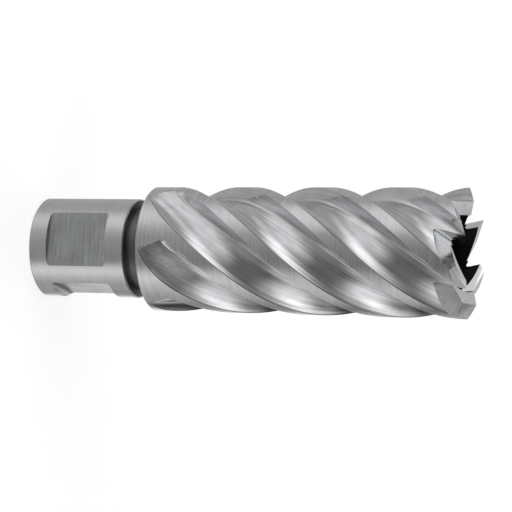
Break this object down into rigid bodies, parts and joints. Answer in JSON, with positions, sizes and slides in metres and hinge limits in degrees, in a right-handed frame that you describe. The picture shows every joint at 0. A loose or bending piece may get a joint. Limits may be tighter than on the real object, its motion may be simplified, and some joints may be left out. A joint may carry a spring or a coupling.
{
  "type": "annular cutter",
  "caption": "Hollow ground-steel annular cutter with a plain side-lock shank, drive flats, neck groove, helical flutes and ground end teeth for cutting round holes in metal.",
  "frame": {"origin": "centre of the shank's back face, on the cutter's axis", "axes": "+Z along the axis from the shank's back face to the teeth; one drive flat faces -Y and the other +X"},
  "size_m": [0.024, 0.024, 0.0848],
  "materials": {
    "steel": "ground bare tool steel, satin, fine turning marks"
  },
  "bodies": {
    "root": {"cutter": "steel"}
  },
  "joints": []
}
